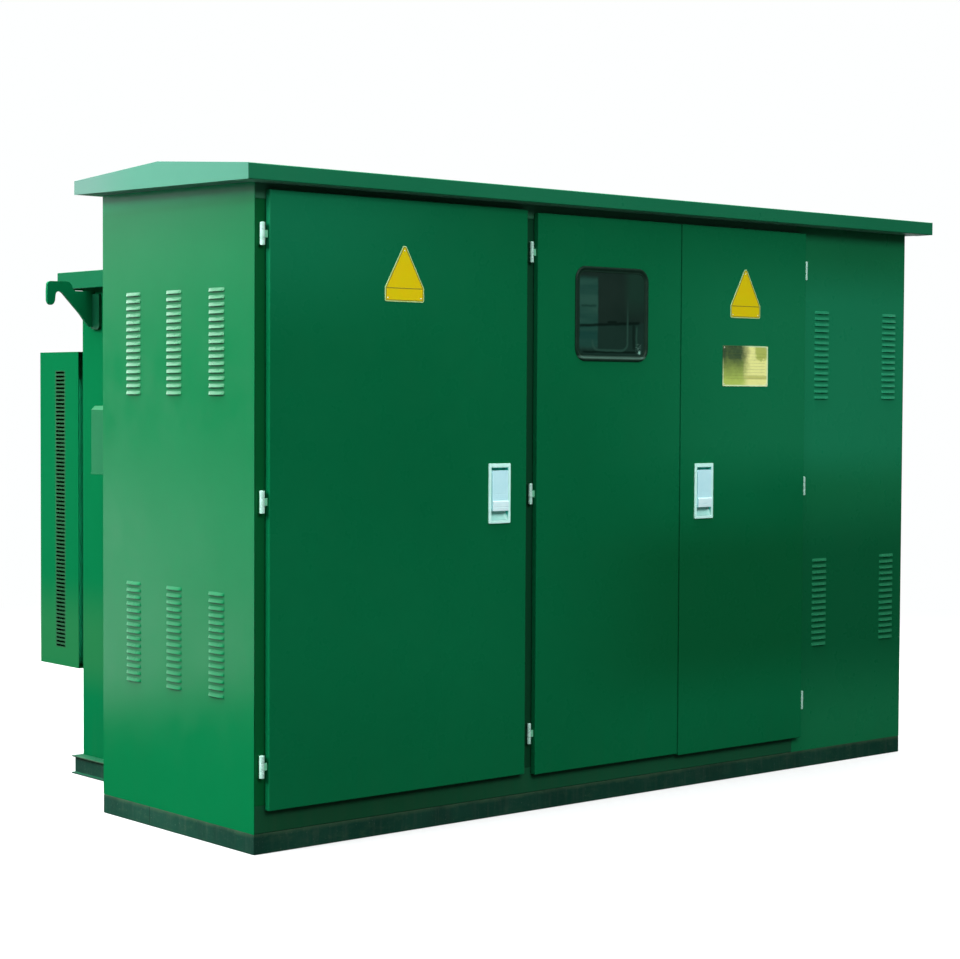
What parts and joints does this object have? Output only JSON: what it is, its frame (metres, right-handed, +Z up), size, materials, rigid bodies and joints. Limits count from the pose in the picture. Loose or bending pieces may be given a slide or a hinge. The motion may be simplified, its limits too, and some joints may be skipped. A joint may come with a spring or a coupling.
{
  "type": "compact transformer substation",
  "caption": "Sheet-steel outdoor switch cabinet with hinged doors and a gabled roof cap, with an oil tank, radiator guard and lifting hooks behind it.",
  "frame": {"origin": "on the floor under the middle of the whole object's box", "axes": "+X along the cabinet to the right as seen from the doors, +Y to the back, towards the tank, +Z up"},
  "size_m": [3.146, 1.938, 2.067],
  "materials": {
    "body_paint": "satin green enamel",
    "roof_paint": "satin green enamel",
    "plinth_paint": "dull dark green, dusty",
    "lock_metal": "pale satin",
    "zinc_steel": "bright zinc",
    "sign_yellow": "satin",
    "brass": "brushed",
    "rubber": "matte",
    "glass": "clear, dark behind"
  },
  "bodies": {
    "root": {"base_front": "plinth_paint", "base_back": "plinth_paint", "base_left": "plinth_paint", "base_right": "plinth_paint", "skid_left": "plinth_paint", "skid_right": "plinth_paint", "floor_plate": "body_paint", "left_wall": "body_paint", "right_wall": "body_paint", "back_wall": "body_paint", "front_sill": "body_paint", "front_header": "body_paint", "front_post_left": "body_paint", "front_post_middle": "body_paint", "front_panel_fixed": "body_paint", "roof_front": "roof_paint", "roof_back": "roof_paint", "roof_gable_left": "roof_paint", "roof_gable_right": "roof_paint", "tank_floor": "body_paint", "tank_left_wall": "body_paint", "tank_right_wall": "body_paint", "tank_back_wall": "body_paint", "tank_front_wall": "body_paint", "tank_cover": "roof_paint", "radiator_fins": "body_paint", "radiator_guard": "body_paint", "terminal_box": "body_paint", "lifting_hook_rear_left": "body_paint", "lifting_hook_rear_right": "body_paint", "lifting_hook_front_left": "body_paint", "lifting_hook_front_right": "body_paint"},
    "door_hv": {"door_hv": "body_paint", "lock_hv_body": "lock_metal", "sign_plate_hv": "sign_yellow"},
    "lock_hv_lever": {"lock_hv_lever": "lock_metal"},
    "door_lv_left": {"door_lv_left": "body_paint", "window_gasket": "rubber", "window_glass": "glass"},
    "door_lv_right": {"door_lv_right": "body_paint", "lock_lv_body": "lock_metal", "sign_plate_lv": "sign_yellow", "rating_plate": "brass"},
    "lock_lv_lever": {"lock_lv_lever": "lock_metal"}
  },
  "joints": [
    {"name": "door_hv_hinge", "type": "hinge", "parent": "root", "child": "door_hv", "pos_m": [-1.4805, -0.9075, 1.045], "axis": [0, 0, -1], "range_deg": [0, 110]},
    {"name": "door_lv_left_hinge", "type": "hinge", "parent": "root", "child": "door_lv_left", "pos_m": [-0.4225, -0.9075, 1.042], "axis": [0, 0, -1], "range_deg": [0, 90]},
    {"name": "door_lv_right_hinge", "type": "hinge", "parent": "root", "child": "door_lv_right", "pos_m": [0.918, -0.9075, 1.037], "axis": [0, 0, 1], "range_deg": [0, 110]},
    {"name": "lock_hv_lift", "type": "hinge", "parent": "door_hv", "child": "lock_hv_lever", "pos_m": [-0.569, -0.9225, 1.1157], "axis": [-1, 0, 0], "range_deg": [0, 60]},
    {"name": "lock_lv_lift", "type": "hinge", "parent": "door_lv_right", "child": "lock_lv_lever", "pos_m": [0.3755, -0.9225, 1.1006], "axis": [-1, 0, 0], "range_deg": [0, 60]}
  ]
}
